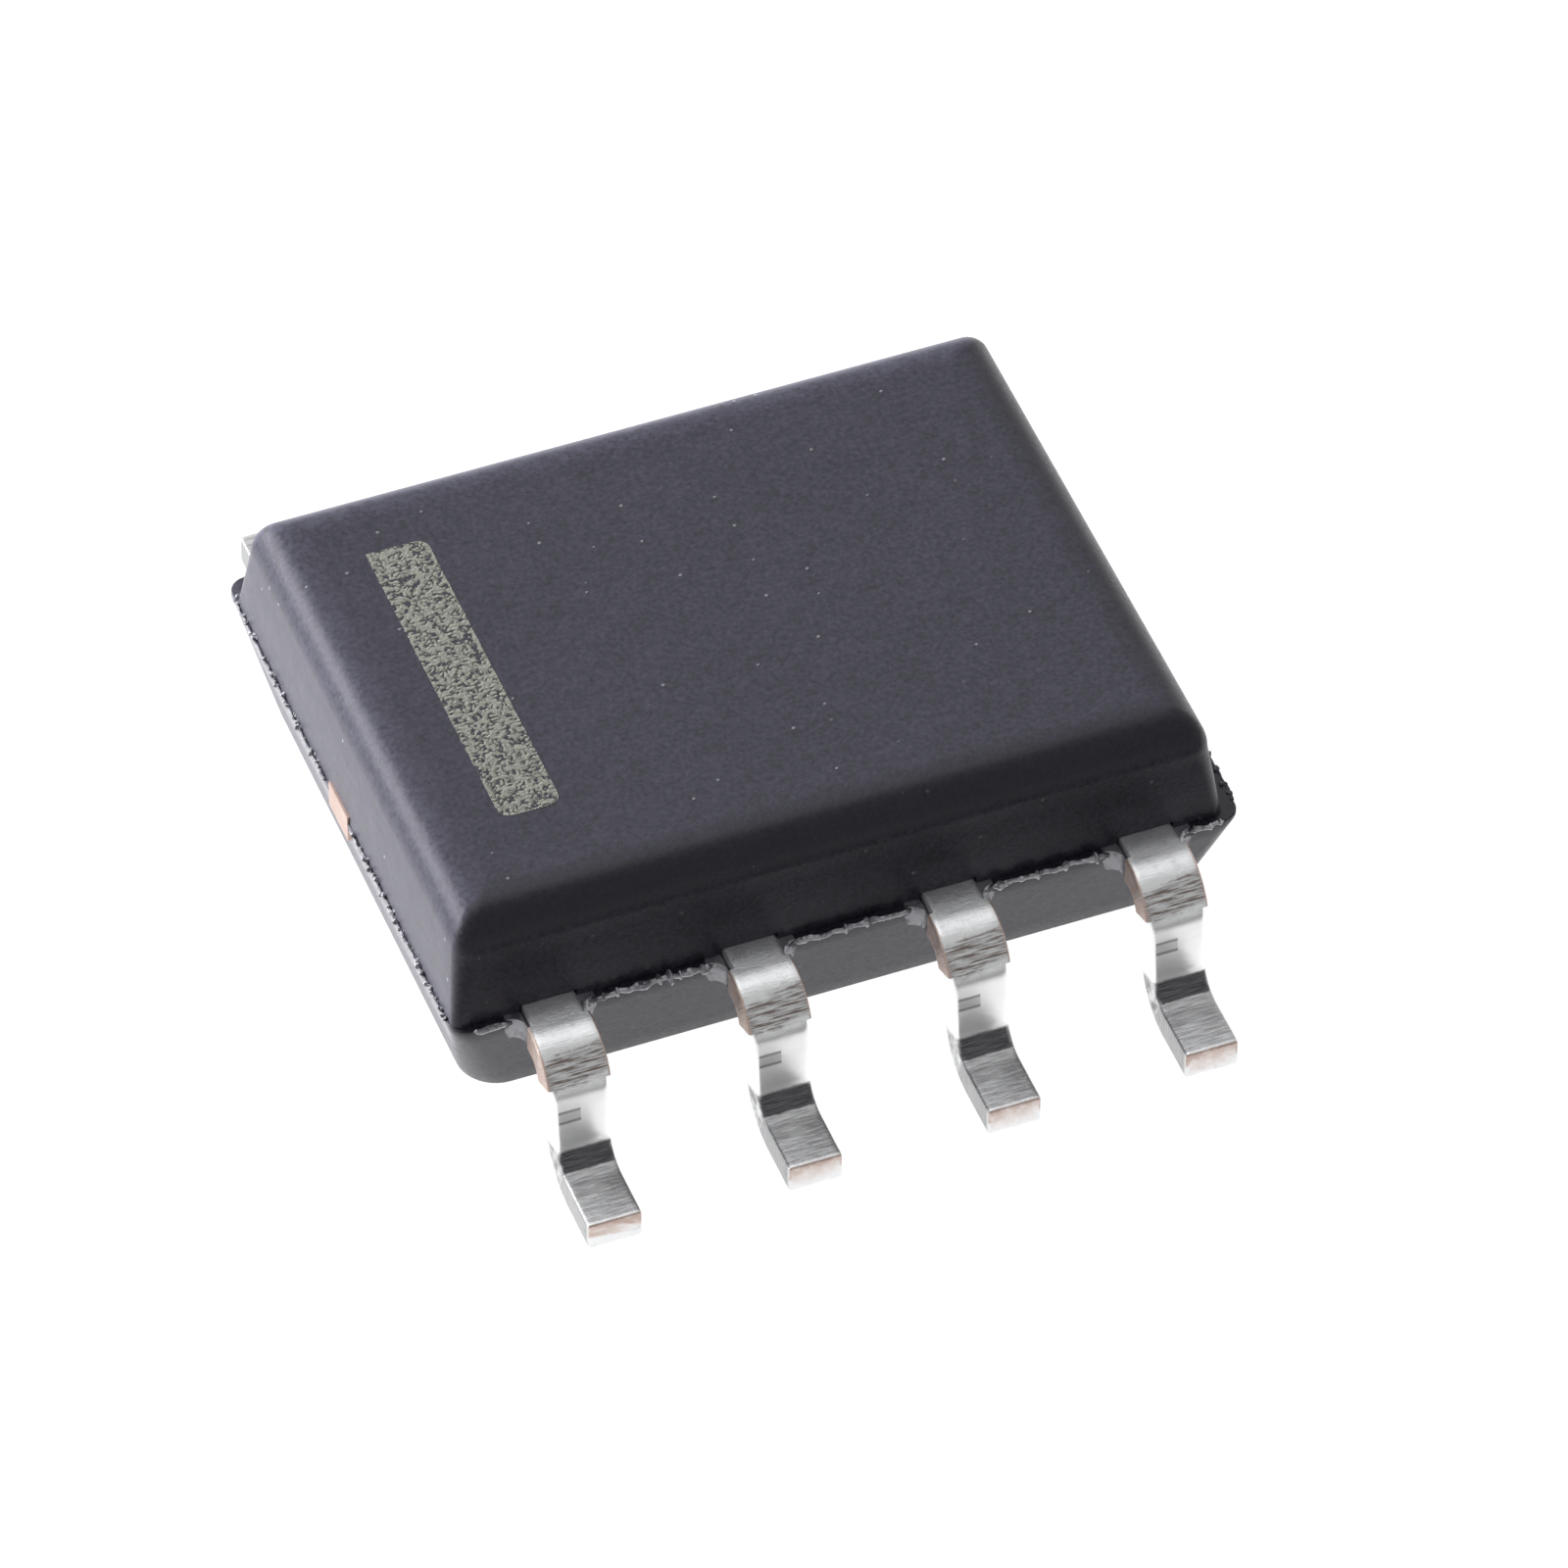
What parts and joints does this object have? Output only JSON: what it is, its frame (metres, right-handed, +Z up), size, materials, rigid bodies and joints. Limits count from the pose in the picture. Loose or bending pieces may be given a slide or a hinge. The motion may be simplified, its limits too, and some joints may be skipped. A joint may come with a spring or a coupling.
{
  "type": "small-outline integrated circuit package",
  "caption": "Moulded surface-mount chip package with gull-wing leads along two sides, a bar beside pin 1, and a lead frame, die and bond wires sealed inside.",
  "frame": {"origin": "on the seating plane under the middle of the package", "axes": "+X along the body from pin 1 to pin 4, -Y towards the row of pins 1 to 4, +Z up from the board"},
  "size_m": [0.005, 0.0062, 0.0017],
  "materials": {
    "mould_compound": "matte black-grey epoxy with a fine grain",
    "tin_plate": "satin tin plate with forming marks",
    "bare_copper": "bare copper alloy, dull",
    "die_attach": "silver-filled epoxy",
    "silicon": "polished silicon",
    "bond_wire": "bright gold",
    "laser_mark": "pale, rough, laser-altered skin"
  },
  "bodies": {
    "root": {"mould_body": "mould_compound", "lead_1": "tin_plate", "lead_2": "tin_plate", "lead_3": "tin_plate", "lead_4": "tin_plate", "lead_5": "tin_plate", "lead_6": "tin_plate", "lead_7": "tin_plate", "lead_8": "tin_plate", "die_paddle": "bare_copper", "die_attach": "die_attach", "die": "silicon", "bond_wire_1": "bond_wire", "bond_wire_2": "bond_wire", "bond_wire_3": "bond_wire", "bond_wire_4": "bond_wire", "bond_wire_5": "bond_wire", "bond_wire_6": "bond_wire", "bond_wire_7": "bond_wire", "bond_wire_8": "bond_wire", "pin_1_mark": "laser_mark"}
  },
  "joints": []
}
